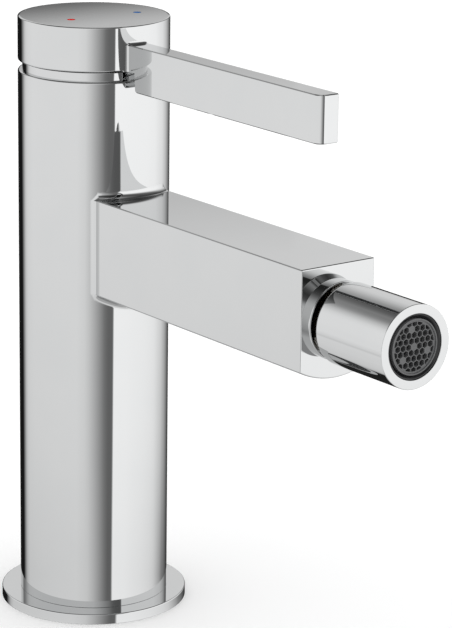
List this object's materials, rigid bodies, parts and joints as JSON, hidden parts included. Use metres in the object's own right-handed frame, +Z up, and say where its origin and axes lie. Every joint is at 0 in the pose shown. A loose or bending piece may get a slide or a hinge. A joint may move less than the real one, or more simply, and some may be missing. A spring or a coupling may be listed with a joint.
{
  "type": "bidet mixer",
  "caption": "Deck-mounted lever bidet mixer in chrome: round column on a thin flange, box spout with a swivel aerator nozzle, and a flat lever on a cap over a ceramic disc cartridge.",
  "frame": {"origin": "centre of the base's underside, on the column's axis", "axes": "+Z up along the column, -Y forward along the spout and the lever, +X to the user's right, which is the cold side"},
  "size_m": [0.0552, 0.1739, 0.1767],
  "materials": {
    "chrome": "polished chrome plate on cast or turned brass",
    "brass": "plain turned brass",
    "steel": "machined stainless steel",
    "ceramic": "lapped alumina ceramic",
    "moulding": "natural white acetal moulding",
    "liner": "white fluoropolymer liner",
    "rubber": "black nitrile rubber",
    "aerator_black": "black moulded plastic",
    "aerator_grey": "light grey moulded plastic",
    "hot_red": "red enamel",
    "cold_blue": "blue enamel"
  },
  "bodies": {
    "body": {"body": "chrome", "base_flange": "chrome", "base_gasket": "rubber", "cartridge_base": "moulding", "port_seals": "rubber", "disc_seals": "rubber", "fixed_disc": "ceramic", "cartridge_housing": "moulding", "cartridge_nut": "brass", "neck_ring": "chrome", "neck_seal": "rubber", "nozzle_collar": "chrome", "ball_stud": "brass", "stud_seal": "rubber"},
    "turntable": {"turntable": "moulding", "pivot_pin": "steel"},
    "disc": {"disc_carrier": "moulding", "moving_disc": "ceramic"},
    "handle": {"handle": "chrome", "spindle": "brass", "handle_screw": "steel", "screw_plug": "chrome", "hot_mark": "hot_red", "cold_mark": "cold_blue"},
    "swivel": {"ball_liner": "liner"},
    "nozzle": {"nozzle_housing": "chrome", "ball_retainer": "brass", "ball_seal": "rubber", "aerator_case": "aerator_black", "aerator_core": "moulding", "aerator_grille": "aerator_grey", "aerator_washer": "rubber"}
  },
  "joints": [
    {"name": "handle_turn", "type": "hinge", "parent": "body", "child": "turntable", "pos_m": [0, 0, 0.148], "axis": [0, 0, 1], "range_deg": [-45, 45]},
    {"name": "handle_lift", "type": "hinge", "parent": "turntable", "child": "handle", "pos_m": [0, 0, 0.148], "axis": [-1, 0, 0], "range_deg": [0, 20]},
    {"name": "disc_slide", "type": "slide", "parent": "turntable", "child": "disc", "axis": [0, -1, 0], "range_m": [0, 0.00252]},
    {"name": "nozzle_swing", "type": "hinge", "parent": "body", "child": "swivel", "pos_m": [0, -0.1244, 0.1119], "axis": [0, 0, 1], "range_deg": [-12, 12]},
    {"name": "nozzle_tilt", "type": "hinge", "parent": "swivel", "child": "nozzle", "pos_m": [0, -0.1244, 0.1119], "axis": [1, 0, 0], "range_deg": [-12, 12]}
  ],
  "couplings": [
    {"joint": "disc_slide", "follows": "handle_lift", "m_per_rad": 0.0072}
  ]
}
